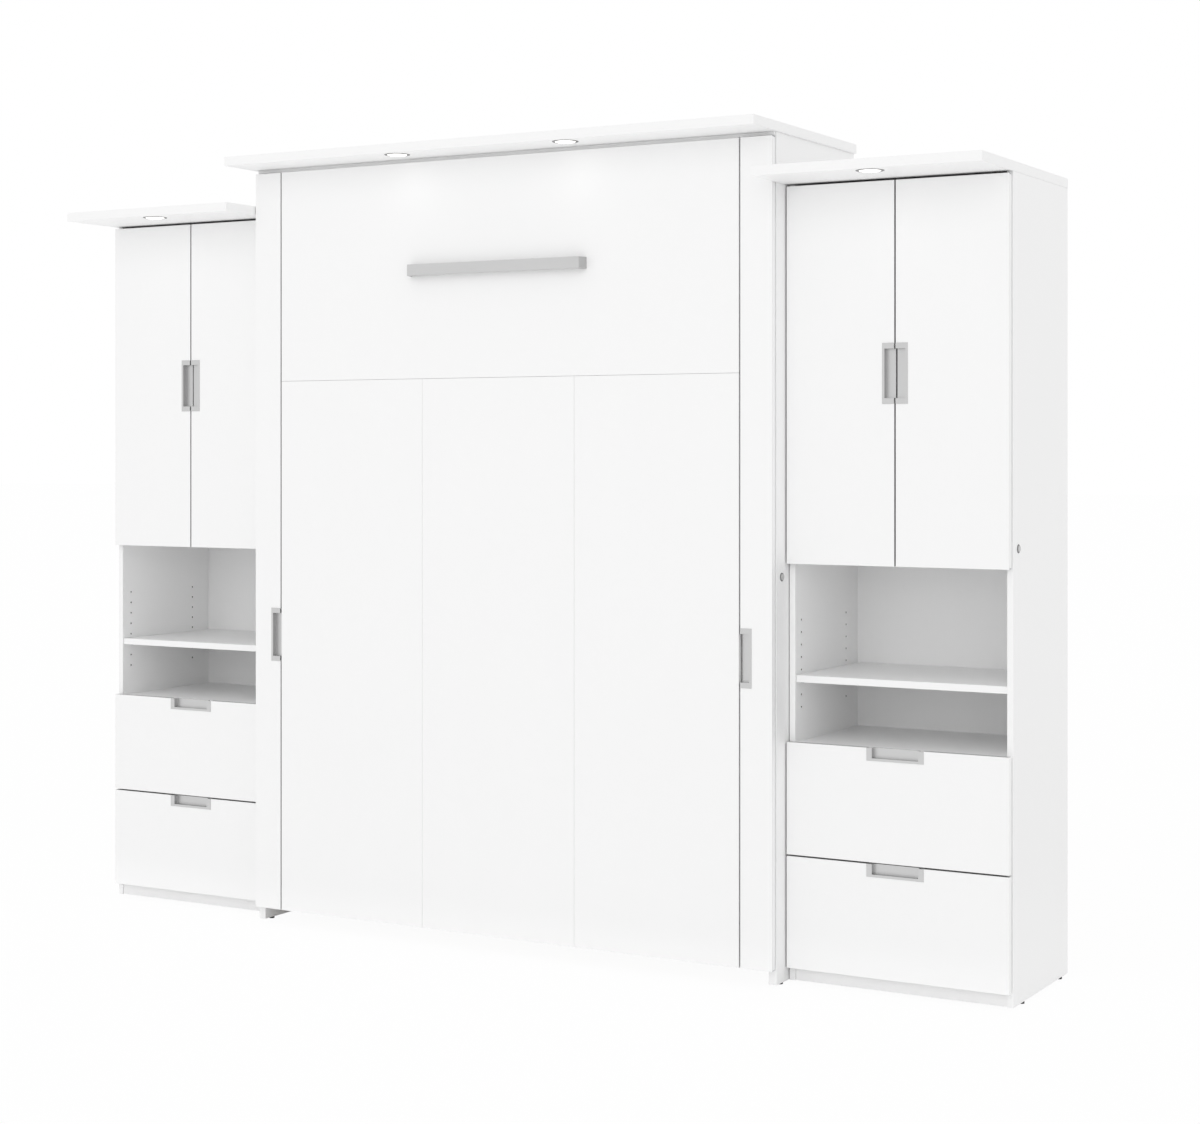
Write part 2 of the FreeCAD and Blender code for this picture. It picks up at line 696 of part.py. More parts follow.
def strut_rod(word, side):
    x = at(side, STRUT_X)
    eye_ends = across(side, *about(STRUT_X, "eye_board/2"))
    past_ends = across(side, *about(STRUT_X, "(eye_board/2 + cut_past)"))
    name = f"strut_rod_{word}"
    low = f"-{STRUT_LENGTH}"
    bar = (f"{low} + stud_radius + cut_past", "-strut_rod_inside")
    solid = fuse(
        f"{name}_solid",
        round_bar(f"{name}_eye", "x", "eye_radius", eye_ends, "0", low),
        round_bar(f"{name}_bar", "z", "strut_rod_radius", x, "0", bar),
        round_bar(
            f"{name}_piston", "z", "cylinder_bore - running_clearance", x, "0",
            ("-strut_rod_inside - strut_piston_length", "-strut_rod_inside"),
        ),
    )
    eye_hole = round_bar(f"{name}_eye_hole", "x", "stud_radius + running_clearance", past_ends, "0", low)
    return cut(name, solid, eye_hole)


def make_struts():
    anchors = []
    for word, side in SIDES.items():
        face = f"{PILASTER_IN} - plate_board"
        flat = box(
            f"strut_anchor_{word}_flat",
            across(side, face, PILASTER_IN),
            about(ANCHOR_Y, "anchor_plate_width/2"),
            about("anchor_height", "anchor_plate_width/2"),
        )
        stud_ends = across(side, f"{face} - anchor_stud", PILASTER_IN)
        name = f"strut_anchor_{word}"
        stud = round_bar(f"{name}_stud", "x", "stud_radius", stud_ends, ANCHOR_Y, "anchor_height")
        anchors.append(fuse(name, flat, stud))
    keep(group("strut_anchors", anchors))
    keep(lean(group("strut_cylinders", [strut_cylinder(word, side) for word, side in SIDES.items()])))
    keep(lean(group("strut_rods", [strut_rod(word, side) for word, side in SIDES.items()])))


# Towers: two sides drilled for shelf pins, thin backs, fixed boards and toe boards
def niche_pin(step):
    return f"({NICHE_FLOOR} + niche_pin_rise + {step}*pin_pitch)"


def cupboard_pin(step):
    return f"({CUPBOARD_FLOOR} + cupboard_pin_rise + {step}*pin_pitch)"


def pin_places():
    """Every hole's column on Y and height on Z, in the niche and in the cupboard."""
    niche = f"({NICHE_TOP} - {NICHE_FLOOR} - niche_pin_rise - niche_pin_margin)"
    cupboard = f"({CUPBOARD_HEIGHT} - 2*cupboard_pin_rise)"
    heights = [niche_pin(step) for step in range(count(f"{niche}/pin_pitch + 1"))]
    heights += [cupboard_pin(step) for step in range(count(f"{cupboard}/pin_pitch + 1"))]
    columns = (f"{TOWER_CARCASS} + pin_setback", f"{TOWER_CARCASS} + pin_setback + pin_span")
    return [(y, z) for y in columns for z in heights]


def tower_side(name, side, low, high, bay_face, into):
    upright = ("glide_height", TOWER_SOFFIT)
    board = box(f"{name}_board", across(side, low, high), (TOWER_CARCASS, WALL), upright)
    ends = across(side, *from_edge(bay_face, into, "(-cut_past)", "pin_depth"))
    holes = [
        round_bar(f"{name}_hole_{number}", "x", "pin_radius + running_clearance", ends, y, z)
        for number, (y, z) in enumerate(pin_places(), start=1)
    ]
    if into > 0:
        holes.append(button_hole(f"{name}_button_hole", side, TOWER_OUT, *TOWER_BUTTON))
    return cut(name, board, *holes)


def make_towers():
    backs = []
    fixed = []
    toes = []
    bay_y = (TOWER_CARCASS, RAIL_FRONT)
    back_y = (RAIL_FRONT, f"{RAIL_FRONT} + back_board")
    toe_y = (f"{TOWER_CARCASS} + toe_setback", f"{TOWER_CARCASS} + toe_setback + carcass_board")
    heights = {
        "bottom": "drawer_bottom",
        "niche": f"({NICHE_FLOOR} - shelf_board)",
        "cupboard": NICHE_TOP,
    }
    for word, side in SIDES.items():
        inner = tower_side(f"{word}_tower_inner_side", side, TOWER_IN, BAY_IN, BAY_IN, -1)
        outer = tower_side(f"{word}_tower_outer_side", side, BAY_OUT, TOWER_OUT, BAY_OUT, 1)
        keep(group(f"{word}_tower_sides", [inner, outer]))
        bay_x = across(side, BAY_IN, BAY_OUT)
        backs.append(box(f"{word}_tower_back", bay_x, back_y, ("glide_height", TOWER_SOFFIT)))
        for place, low in heights.items():
            fixed.append(box(f"{word}_{place}_board", bay_x, bay_y, (low, f"{low} + shelf_board")))
        toes.append(box(f"{word}_toe_board", bay_x, toe_y, ("glide_height", "drawer_bottom")))
    keep(group("tower_backs", backs))
    keep(group("tower_fixed_shelves", fixed))
    keep(group("tower_toe_boards", toes))


# Adjustable shelves, each on four pins in the drilled sides
def shelf_heights():
    """The pins' height under each shelf: low in the niche, and at even shares of the cupboard."""
    places = {"niche": niche_pin("holes_under_shelf_count")}
    shelves = count("cupboard_shelf_count")
    for number in range(1, shelves + 1):
        share = f"({CUPBOARD_HEIGHT}*{number}/(cupboard_shelf_count + 1) - cupboard_pin_rise)"
        places[f"cupboard_{number}"] = cupboard_pin(f"round({share}/pin_pitch)")
    return places


def make_shelves():
    shelves = []
    pins = []
    for word, side in SIDES.items():
        for place, height in shelf_heights().items():
            bottom = f"({height} + pin_radius)"
            shelves.append(
                box(
                    f"{word}_{place}_shelf",
                    across(side, f"{BAY_IN} + shelf_end_gap", f"{BAY_OUT} - shelf_end_gap"),
                    (f"{TOWER_CARCASS} + shelf_front_gap", f"{RAIL_FRONT} - shelf_back_gap"),
                    (bottom, f"{bottom} + shelf_board"),
                )
            )
            for wall, face, into in (("inner", BAY_IN, -1), ("outer", BAY_OUT, 1)):
                ends = across(side, *from_edge(face, into, "(-pin_reach)", "pin_depth"))
                for column, setback in (("front", "pin_setback"), ("back", "(pin_setback + pin_span)")):
                    name = f"{word}_{place}_{wall}_{column}_pin"
                    y = f"{TOWER_CARCASS} + {setback}"
                    pins.append(round_bar(name, "x", "pin_radius", ends, y, height))
    keep(group("adjustable_shelves", shelves))
    keep(group("shelf_pins", pins))


# Drawers: a front with a pull in its top edge, and a box whose grooved sides run on fixed strips
def drawer(name, side, low, high):
    front = box(
        f"{name}_front_board",
        across(side, FRONTS_IN, FRONTS_OUT),
        (TOWER_FRONT, f"{TOWER_FRONT} + front_board"),
        (low, high),
    )
    notch = pull_parts(f"{name}_pull", high, -1, TOWER_MID, TOWER_FRONT, False, side)
    keep(cut(f"{name}_front", front, notch))
    box_y = f"({TOWER_FRONT} + front_board)"
    box_end = f"({box_y} + drawer_box_length)"
    box_z = f"({low} + drawer_box_rise)"
    z = (box_z, f"{box_z} + drawer_box_height")
    strip_z = f"({box_z} + drawer_box_height/2 - drawer_strip_height/2)"
    groove_z = (f"{strip_z} - drawer_strip_gap", f"{strip_z} + drawer_strip_height + drawer_strip_gap")
    boards = []
    strips = []
    for wall, face, into in (("inner", BAY_IN, 1), ("outer", BAY_OUT, -1)):
        board_end = "(drawer_side_gap + drawer_board)"
        board_x = across(side, *from_edge(face, into, "drawer_side_gap", board_end))
        board = box(f"{name}_{wall}_board", board_x, (box_y, box_end), z)
        groove_end = "(drawer_side_gap + drawer_groove_depth)"
        groove_x = across(side, *from_edge(face, into, "(drawer_side_gap - cut_past)", groove_end))
        groove_y = (f"{box_y} - cut_past", f"{box_end} + cut_past")
        groove = box(f"{name}_{wall}_groove", groove_x, groove_y, groove_z)
        boards.append(cut(f"{name}_{wall}_side", board, groove))
        strip_x = across(side, *from_edge(face, into, "0", "drawer_strip_reach"))
        strip_y = (f"{TOWER_CARCASS} + drawer_strip_front", box_end)
        strip_top = f"{strip_z} + drawer_strip_height"
        strips.append(box(f"{name}_{wall}_strip", strip_x, strip_y, (strip_z, strip_top)))
    inset = "drawer_side_gap - drawer_board"
    wide = across(side, f"{BAY_IN} + drawer_side_gap + drawer_board", f"{BAY_OUT} - {inset}")
    boards.append(box(f"{name}_inner_front", wide, (box_y, f"{box_y} + drawer_board"), z))
    boards.append(box(f"{name}_back", wide, (f"{box_end} - drawer_board", box_end), z))
    base_z = f"({box_z} + drawer_base_rise)"
    base_y = (f"{box_y} + drawer_board", f"{box_end} - drawer_board")
    boards.append(box(f"{name}_base", wide, base_y, (base_z, f"{base_z} + drawer_base_board")))
    keep(group(f"{name}_box", boards))
    return strips


def make_drawers():
    strips = []
    for word, side in SIDES.items():
        strips += drawer(f"{word}_upper_drawer", side, "(drawer_seam + drawer_gap/2)", "drawer_top")
        strips += drawer(f"{word}_lower_drawer", side, "drawer_bottom", "(drawer_seam - drawer_gap/2)")
    keep(group("drawer_strips", strips))


# Glides: small hard feet under the sides
def make_glides():
    glides = []
    bed_front = f"{BED_CARCASS} + bed_glide_front"
    tower_front = f"{TOWER_CARCASS} + tower_glide_front"
    uprights = {
        "side": (f"({BED_HALF} - side_board/2)", bed_front),
        "tower_inner": (f"({TOWER_IN} + carcass_board/2)", tower_front),
        "tower_outer": (f"({TOWER_OUT} - carcass_board/2)", tower_front),
    }
    for word, side in SIDES.items():
        for upright, (x, front) in uprights.items():
            for end, y in (("front", front), ("back", f"{WALL} - glide_back")):
                name = f"{word}_{upright}_{end}_glide"
                glides.append(round_bar(name, "z", "glide_radius", at(side, x), y, ("0", "glide_height")))
    keep(group("glides", glides))


make_bed_cabinet()
make_crowns()
make_lights()
make_buttons()
make_doors()
make_bed_face()
make_handle()
make_bed_frame()
make_pivots()
make_struts()
make_towers()
make_shelves()
make_drawers()
make_glides()
doc.recompute()

for piece in doc.Objects:
    if "Invalid" in piece.State or "Error" in piece.State:
        raise RuntimeError(f"{piece.Label} did not build: {piece.State}")
for piece in nodes:
    if piece.Shape.isNull() or not piece.Shape.isValid():
        raise RuntimeError(f"{piece.Label} has no valid shape")

os.makedirs("parts", exist_ok=True)
for piece in nodes:
    piece.Shape.exportStep(f"parts/{piece.Label}.step")
solids = sum(len(piece.Shape.Solids) for piece in nodes)
print(len(nodes), "nodes,", solids, "solids")
print("overall box", Part.makeCompound([piece.Shape for piece in nodes]).BoundBox)
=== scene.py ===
import json
import math

import bmesh
import bpy
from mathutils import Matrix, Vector

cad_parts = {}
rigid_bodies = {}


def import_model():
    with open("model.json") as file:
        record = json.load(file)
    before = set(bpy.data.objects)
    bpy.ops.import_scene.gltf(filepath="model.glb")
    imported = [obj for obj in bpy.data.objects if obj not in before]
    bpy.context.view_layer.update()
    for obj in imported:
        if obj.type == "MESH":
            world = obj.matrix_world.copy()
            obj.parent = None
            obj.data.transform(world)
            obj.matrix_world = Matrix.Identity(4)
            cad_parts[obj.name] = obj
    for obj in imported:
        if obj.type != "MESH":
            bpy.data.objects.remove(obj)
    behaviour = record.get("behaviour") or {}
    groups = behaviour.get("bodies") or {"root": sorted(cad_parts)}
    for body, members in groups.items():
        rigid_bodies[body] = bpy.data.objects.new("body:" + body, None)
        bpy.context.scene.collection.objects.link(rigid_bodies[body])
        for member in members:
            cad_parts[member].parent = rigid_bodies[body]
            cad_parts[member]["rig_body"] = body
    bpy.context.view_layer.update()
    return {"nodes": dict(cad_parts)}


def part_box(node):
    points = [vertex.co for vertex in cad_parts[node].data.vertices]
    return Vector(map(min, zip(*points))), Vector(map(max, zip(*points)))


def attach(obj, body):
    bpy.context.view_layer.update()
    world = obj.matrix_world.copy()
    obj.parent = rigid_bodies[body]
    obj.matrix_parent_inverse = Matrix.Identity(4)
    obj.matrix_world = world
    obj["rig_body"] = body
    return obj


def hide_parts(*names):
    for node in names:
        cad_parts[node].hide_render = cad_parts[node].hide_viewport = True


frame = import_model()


# Cabinet boards: sides, partitions, rails, fixed and loose shelves, toe boards and crowns.
# Chipboard faced in white melamine with a fine pressed grain. The edges are banded and eased,
# and the boards are dowelled and screwed together.
MM = 0.001
BOARD_EDGE = 0.7 * MM
LONGEST_IN_A_HOLE = 14 * MM
SAME_POINT = 0.002 * MM
FLAT_WITHIN = math.radians(1)
SHARP_OVER = math.radians(40)
SMOOTH_UNDER = math.radians(50)
nodes = frame["nodes"]


class Wire:
    """One socket of a node tree. Sums on it add Math nodes, and node() adds any other node."""

    def __init__(self, tree, socket=None):
        self.tree = tree
        self.socket = socket

    def node(self, kind, settings=None, inputs=None, out=0):
        made = self.tree.nodes.new(kind)
        for key, value in (settings or {}).items():
            if key == "stops":
                self.set_stops(made.color_ramp.elements, value)
            else:
                setattr(made, key, value)
        for key, value in (inputs or {}).items():
            if isinstance(value, Wire):
                self.tree.links.new(value.socket, made.inputs[key])
            else:
                made.inputs[key].default_value = value
        return Wire(self.tree, made.outputs[out] if made.outputs else None)

    @staticmethod
    def set_stops(elements, stops):
        for place, _ in stops[1:-1]:
            elements.new(place)
        for element, (place, colour) in zip(elements, stops):
            element.position = place
            element.color = colour

    def sum(self, operation, first, second):
        return self.node("ShaderNodeMath", {"operation": operation}, {0: first, 1: second})

    def __add__(self, other):
        return self.sum("ADD", self, other)

    def __sub__(self, other):
        return self.sum("SUBTRACT", self, other)

    def __rsub__(self, other):
        return self.sum("SUBTRACT", other, self)

    def __mul__(self, other):
        return self.sum("MULTIPLY", self, other)

    __radd__ = __add__
    __rmul__ = __mul__

    def over(self, limit):
        return self.sum("GREATER_THAN", self, limit)

    def or_more(self, other):
        return self.sum("MAXIMUM", self, other)

    def blend(self, low, high):
        """A colour between two, by this value.

        A Mix node's sockets for colours are its inputs 6 and 7 and its output 2.
        """
        return self.node("ShaderNodeMix", {"data_type": "RGBA"}, {0: self, 6: low, 7: high}, out=2)


def finish(name, surface):
    """A material whose surface(wire) gives the values of its Principled shader's sockets."""
    material = bpy.data.materials.new(name)
    material.use_nodes = True
    material.node_tree.nodes.clear()
    wire = Wire(material.node_tree)
    shader = wire.node("ShaderNodeBsdfPrincipled", {}, surface(wire))
    wire.node("ShaderNodeOutputMaterial", {}, {"Surface": shader})
    return material


def drawn_noise(wire, along, long, short, detail):
    """Noise drawn out along one axis: long and short are its waves a metre along it and across it."""
    place = wire.node("ShaderNodeTexCoord", out="Object")
    waves = [long if axis == along else short for axis in "xyz"]
    drawn = wire.node("ShaderNodeVectorMath", {"operation": "MULTIPLY"}, {0: place, 1: waves})
    return wire.node("ShaderNodeTexNoise", {}, {"Vector": drawn, "Scale": 1, "Detail": detail})


def even_noise(wire, waves, detail):
    """Noise that is alike in all directions, with so many waves a metre."""
    return drawn_noise(wire, "z", waves, waves, detail)


def relief(wire, height, strength, depth):
    """The bump that a pattern gives a surface."""
    return wire.node("ShaderNodeBump", {}, {"Strength": strength, "Distance": depth, "Height": height})


def grey(level):
    """A colour without hue, from 0 for black to 1 for white."""
    return (level, level, level, 1)


WHITE = grey(0.965)
WHITE_IN_THE_GRAIN = grey(0.945)
# Near-black chip colours: painted shade for the walls of the drilled holes, darker than bare chipboard.
HOLE_SHADE_DARK = (0.035, 0.022, 0.013, 1)
HOLE_SHADE_PALE = (0.10, 0.07, 0.045, 1)


def melamine(along):
    """White melamine whose pressed grain runs along x, y or z."""

    def surface(wire):
        lines = drawn_noise(wire, along, long=9, short=520, detail=3)
        cloud = drawn_noise(wire, along, long=1.5, short=5, detail=2)
        return {
            "Base Color": (0.5 * lines + 0.5 * cloud).blend(WHITE_IN_THE_GRAIN, WHITE),
            "Roughness": 0.36 + 0.16 * lines,
            "Normal": relief(wire, lines, strength=0.25, depth=0.1 * MM),
        }

    return surface


# The walls of the drilled holes: the chip pattern of bare chipboard, painted near-black as shade in the
# holes.
def chips_painted_dark_for_holes(wire):
    chips = even_noise(wire, waves=700, detail=4)
    return {
        "Base Color": chips.blend(HOLE_SHADE_DARK, HOLE_SHADE_PALE),
        "Roughness": 0.8 + 0.15 * chips,
        "Normal": relief(wire, chips, strength=0.6, depth=0.3 * MM),
    }


def piece(name, mesh, material, body, slot, *stands_for):
    """A mesh as an object that rides on a body, in place of the CAD nodes that it stands for."""
    data = bpy.data.meshes.new(name)
    mesh.to_mesh(data)
    mesh.free()
    if "custom_normal" in data.attributes:
        data.attributes.remove(data.attributes["custom_normal"])
    data.materials.append(material)
    data.shade_smooth()
    data.set_sharp_from_angle(angle=SMOOTH_UNDER)
    made = bpy.data.objects.new(name, data)
    bpy.context.scene.collection.objects.link(made)
    made.modifiers.new("flat faces stay flat", "WEIGHTED_NORMAL").keep_sharp = True
    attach(made, body)
    if stands_for:
        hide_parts(*stands_for)
    return made


def welded(node):
    """The node's solids as a new mesh, with the faces joined along their edges."""
    mesh = bmesh.new()
    mesh.from_mesh(nodes[node].data)
    bmesh.ops.remove_doubles(mesh, verts=mesh.verts, dist=SAME_POINT)
    return mesh


def ease_edges(mesh, radius, shortest):
    """Rounds the sharp edges longer than shortest. The rims of small holes stay as they are."""
    edges = []
    for edge in mesh.edges:
        if edge.is_manifold and edge.calc_face_angle() > SHARP_OVER and edge.calc_length() > shortest:
            edges.append(edge)
    bmesh.ops.bevel(
        mesh, geom=edges, offset=radius, offset_type="OFFSET", segments=3, profile=0.5, affect="EDGES"
    )


def eased(node, material, radius, shortest=8 * MM, in_triangles=False, second=None, takes_second=None):
    """The node with its edges eased. Faces that takes_second picks show a second finish.

    Drilled and grooved boards keep their flat faces in triangles. Boards that touch are parted first.
    """
    mesh = welded(node)
    if not in_triangles:
        bmesh.ops.dissolve_limit(
            mesh, angle_limit=FLAT_WITHIN, verts=mesh.verts[:], edges=mesh.edges[:]
        )
    if second:
        for face in mesh.faces:
            face.material_index = int(takes_second(face))
    where_boards_meet = [edge for edge in mesh.edges if len(edge.link_faces) > 2]
    bmesh.ops.split_edges(mesh, edges=where_boards_meet)
    ease_edges(mesh, radius, shortest)
    cad = nodes[node]
    made = piece(f"{node}_eased", mesh, material, cad["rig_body"], cad.data.materials[0].name, node)
    if second:
        made.data.materials.append(second)


def in_a_hole(face):
    """The walls and ends of the drilled holes, whose faces are all small."""
    return max(edge.calc_length() for edge in face.edges) < LONGEST_IN_A_HOLE


upright_board = finish("white melamine, upright grain", melamine("z"))
level_board = finish("white melamine, level grain", melamine("x"))
hole_shade = finish("hole walls, painted shade", chips_painted_dark_for_holes)
for board in ("bed_side_left", "bed_side_right", "bed_partitions"):
    eased(board, upright_board, BOARD_EDGE)
# The drilled rows in the towers' sides show the near-black painted hole shade.
for board in ("left_tower_sides", "right_tower_sides"):
    eased(board, upright_board, BOARD_EDGE, in_triangles=True, second=hole_shade, takes_second=in_a_hole)
for board in ("wall_rails", "stop_rails", "tower_fixed_shelves", "adjustable_shelves",
              "tower_toe_boards", "bed_crown", "left_tower_crown", "right_tower_crown"):
    eased(board, level_board, BOARD_EDGE)


# Backs: 6 mm hardboard sheets, white on the inside and bare brown fibre on the wall side.
# They lie between the sides and are pinned to the boards in front of them.
SHEET_EDGE = 0.4 * MM
TO_THE_WALL = 0.5
FIBRE_DARK = (0.20, 0.115, 0.06, 1)
FIBRE_PALE = (0.36, 0.225, 0.125, 1)


def facing(wire, axis):
    """How far a face looks along an axis of the set at rest, from -1 to 1."""
    normal = wire.node("ShaderNodeTexCoord", out="Normal")
    return wire.node("ShaderNodeSeparateXYZ", {}, {0: normal}, out=axis)


def hardboard(wire):
    lines = drawn_noise(wire, "z", long=9, short=520, detail=3)
    fibres = drawn_noise(wire, "x", long=160, short=480, detail=5)
    clouds = drawn_noise(wire, "x", long=4, short=6, detail=3)
    wall_side = facing(wire, "Y").over(TO_THE_WALL)
    white = lines.blend(WHITE_IN_THE_GRAIN, WHITE)
    brown = (0.6 * fibres + 0.4 * clouds).blend(FIBRE_DARK, FIBRE_PALE)
    return {
        "Base Color": wall_side.blend(white, brown),
        "Roughness": 0.42 + 0.4 * wall_side,
        "Normal": relief(wire, lines + wall_side * fibres, strength=0.4, depth=0.2 * MM),
    }


back_sheet = finish("hardboard, white inside", hardboard)
for back in ("bed_back_panel", "tower_backs"):
    eased(back, back_sheet, SHEET_EDGE)


# Lights: low-voltage pucks let into the crowns. Each is a turned rim and can, in dark satin nickel,
# with a frosted lens that glows.
RIM_DROP = 1.5 * MM
RIM_DARK = grey(0.20)
RIM_PALE = grey(0.32)
RIM_ROUGH = 0.3
LENS_BODY = (0.9, 0.9, 0.88, 1)
GLOW_WARM = (1, 0.97, 0.92, 1)
GLOW_WHITE = (1, 1, 0.98, 1)
GLOW_STRENGTH = 1.6
TO_THE_FRONT = 0.6
DOWN = (0, 0, -1)
rim_profile = [
    (0, -11.8), (30, -11.8), (30, 0), (35, 0), (34.7, 0.6), (34, 1.1), (32.8, 1.4), (31.5, 1.5),
    (28.6, 1.5), (27.8, 1.3), (27.3, 0.8), (27.2, 0), (27.2, -6), (0, -6),
]
lens_profile = [
    (0, 3.4), (9, 3.3), (18, 2.9), (23, 2.3), (25.8, 1.6), (26.8, 0.8), (27.1, -0.4), (27.1, -5.9),
    (0, -5.9),
]


def solids(node):
    """(lowest corner, highest corner) of each separate solid of a node, from left to right."""
    mesh = welded(node)
    left = set(mesh.verts)
    boxes = []
    while left:
        reached = [left.pop()]
        for vertex in reached:
            near = {edge.other_vert(vertex) for edge in vertex.link_edges} & left
            left -= near
            reached.extend(near)
        corners = [[vertex.co[axis] for vertex in reached] for axis in range(3)]
        boxes.append((Vector(map(min, corners)), Vector(map(max, corners))))
    mesh.free()
    return sorted(boxes, key=lambda box: tuple(box[0]))


def turn(mesh, profile, centre, outward, steps):
    """Adds a turned solid: profile gives (radius, height along outward) from pole to pole, in mm."""
    tilt = Vector((0, 0, 1)).rotation_difference(Vector(outward)).to_matrix()
    rings = []
    for radius, height in profile:
        count = steps if radius else 1
        angles = [2 * math.pi * step / count for step in range(count)]
        spots = [(radius * math.cos(angle), radius * math.sin(angle), height) for angle in angles]
        rings.append([mesh.verts.new(Vector(centre) + tilt @ (Vector(spot) * MM)) for spot in spots])
    for lower, upper in zip(rings, rings[1:]):
        for step in range(steps):
            after = step + 1
            corners = [lower[step % len(lower)], lower[after % len(lower)],
                       upper[after % len(upper)], upper[step % len(upper)]]
            mesh.faces.new(dict.fromkeys(corners))


def turned(profile, places, steps=64):
    """A mesh of like turned solids, one at each (place, the way it looks)."""
    mesh = bmesh.new()
    for place, outward in places:
        turn(mesh, profile, place, outward, steps)
    bmesh.ops.recalc_face_normals(mesh, faces=mesh.faces[:])
    return mesh


def satin_metal(dark, pale, rough, along, side_shade=None):
    """Brushed metal whose scratches run along x, y or z.

    Where a colour for the sides is given, faces that don't look to the front take it, as painted shade.
    """

    def surface(wire):
        scratches = drawn_noise(wire, along, long=30, short=1800, detail=4)
        cloud = drawn_noise(wire, along, long=6, short=25, detail=2)
        colour = (0.6 * scratches + 0.4 * cloud).blend(dark, pale)
        if side_shade:
            colour = (0 - facing(wire, "Y")).over(TO_THE_FRONT).blend(side_shade, colour)
        return {
            "Base Color": colour,
            "Metallic": 1,
            "Roughness": rough + 0.18 * scratches,
            "Normal": relief(wire, scratches, strength=0.12, depth=0.03 * MM),
        }

    return surface


def glow(wire):
    cells = even_noise(wire, waves=900, detail=2)
    return {
        "Base Color": LENS_BODY,
        "Roughness": 0.5 + 0.2 * cells,
        "Emission Color": cells.blend(GLOW_WARM, GLOW_WHITE),
        "Emission Strength": GLOW_STRENGTH,
        "Normal": relief(wire, cells, strength=0.3, depth=0.1 * MM),
    }


light_places = []
for low, high in solids("light_housings"):
    middle = (low + high) / 2
    light_places.append((Vector((middle.x, middle.y, low.z + RIM_DROP)), DOWN))
rim_metal = finish("dark satin nickel", satin_metal(RIM_DARK, RIM_PALE, RIM_ROUGH, "z"))
lens_glow = finish("glowing frosted lens", glow)
rims = turned(rim_profile, light_places)
lenses = turned(lens_profile, light_places)
piece("light_rims", rims, rim_metal, "cabinet", "nickel", "light_housings")
piece("light_frosted_lenses", lenses, lens_glow, "cabinet", "lens", "light_lenses")


# Push buttons: one on the bed cabinet's side and one on each tower, which work the lights.
# Each has a turned metal ring pressed into the board, and a dished cap of grey plastic that springs
# back when it is let go.
RING_PROUD = 1.5 * MM
CAP_PROUD = 3.5 * MM
CAP_DARK = grey(0.50)
CAP_PALE = grey(0.58)
ring_profile = [
    (0, -1.5), (8.6, -1.5), (8.3, -1), (8.3, 0.9), (8.6, 1.3), (9.2, 1.5), (10, 1.4), (10.7, 1),
    (11, 0.4), (11, -2.5), (0, -2.5),
]
cap_profile = [
    (0, 3), (3, 3.05), (5.6, 3.35), (6.6, 3.5), (7.4, 3.3), (7.85, 2.8), (8, 2.1), (8, 0.1), (0, 0.1),
]


def button_face(low, high, proud):
    """The middle of a button on the board's face, and the way it faces."""
    outward = 1 if low.x > 0 else -1
    outer = high.x if low.x > 0 else low.x
    middle = (low + high) / 2
    return Vector((outer - outward * proud, middle.y, middle.z)), (outward, 0, 0)


def moulded(wire):
    grain = even_noise(wire, waves=500, detail=3)
    return {
        "Base Color": grain.blend(CAP_DARK, CAP_PALE),
        "Roughness": 0.18 + 0.14 * grain,
        "Normal": relief(wire, grain, strength=0.1, depth=0.05 * MM),
    }


ring_places = [button_face(low, high, RING_PROUD) for low, high in solids("button_bezels")]
rings = turned(ring_profile, ring_places)
piece("button_rings", rings, rim_metal, "cabinet", "nickel", "button_bezels")
cap_plastic = finish("grey moulded cap", moulded)
for button in ("bed_button", "left_tower_button", "right_tower_button"):
    cap = turned(cap_profile, [button_face(*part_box(button), CAP_PROUD)])
    piece(f"{button}_cap", cap, cap_plastic, f"{button}_cap", "button_cap", button)


# Fronts: tower doors, narrow pilaster doors, drawer fronts, and the bed's face of one wide and three
# upright boards, which is screwed to the bed frame. They are 18 mm boards in the same white melamine.
# The edges of doors and drawer fronts are a grey that is painted shade for the gaps, except at the outer
# end of each row.
FRONT_EDGE = 0.8 * MM
BED_FACE_EDGE = 0.4 * MM
AT_A_ROW_END = 2 * MM
EDGE_ON = 0.5
# Greys of the painted shade that the fronts' edges carry in the gaps.
GAP_SHADE_DARK = grey(0.46)
GAP_SHADE_PALE = grey(0.54)
TOWERS = ("left", "right")
LEVELS = ("upper", "lower")
DOORS = ("pilaster_door", "tower_inner_door", "tower_outer_door")
ROW_ENDS = [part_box(door)[1].x for door in ("right_pilaster_door", "right_tower_outer_door")]
upright_front = finish("white front, upright grain", melamine("z"))
level_front = finish("white front, level grain", melamine("x"))


# Painted shade for the gaps between fronts: a mid grey with a fine speckle, on the fronts' edges.
def painted_gap_shade(wire):
    speckle = drawn_noise(wire, "z", long=60, short=900, detail=3)
    return {
        "Base Color": speckle.blend(GAP_SHADE_DARK, GAP_SHADE_PALE),
        "Roughness": 0.45 + 0.15 * speckle,
        "Normal": relief(wire, speckle, strength=0.2, depth=0.05 * MM),
    }


def facing_a_gap(face):
    """All edges of a front but the one at the outer end of its row: these take the painted gap shade,
    and that one stays white.
    """
    out = abs(face.calc_center_median().x)
    return abs(face.normal.y) < EDGE_ON and all(abs(out - end) > AT_A_ROW_END for end in ROW_ENDS)


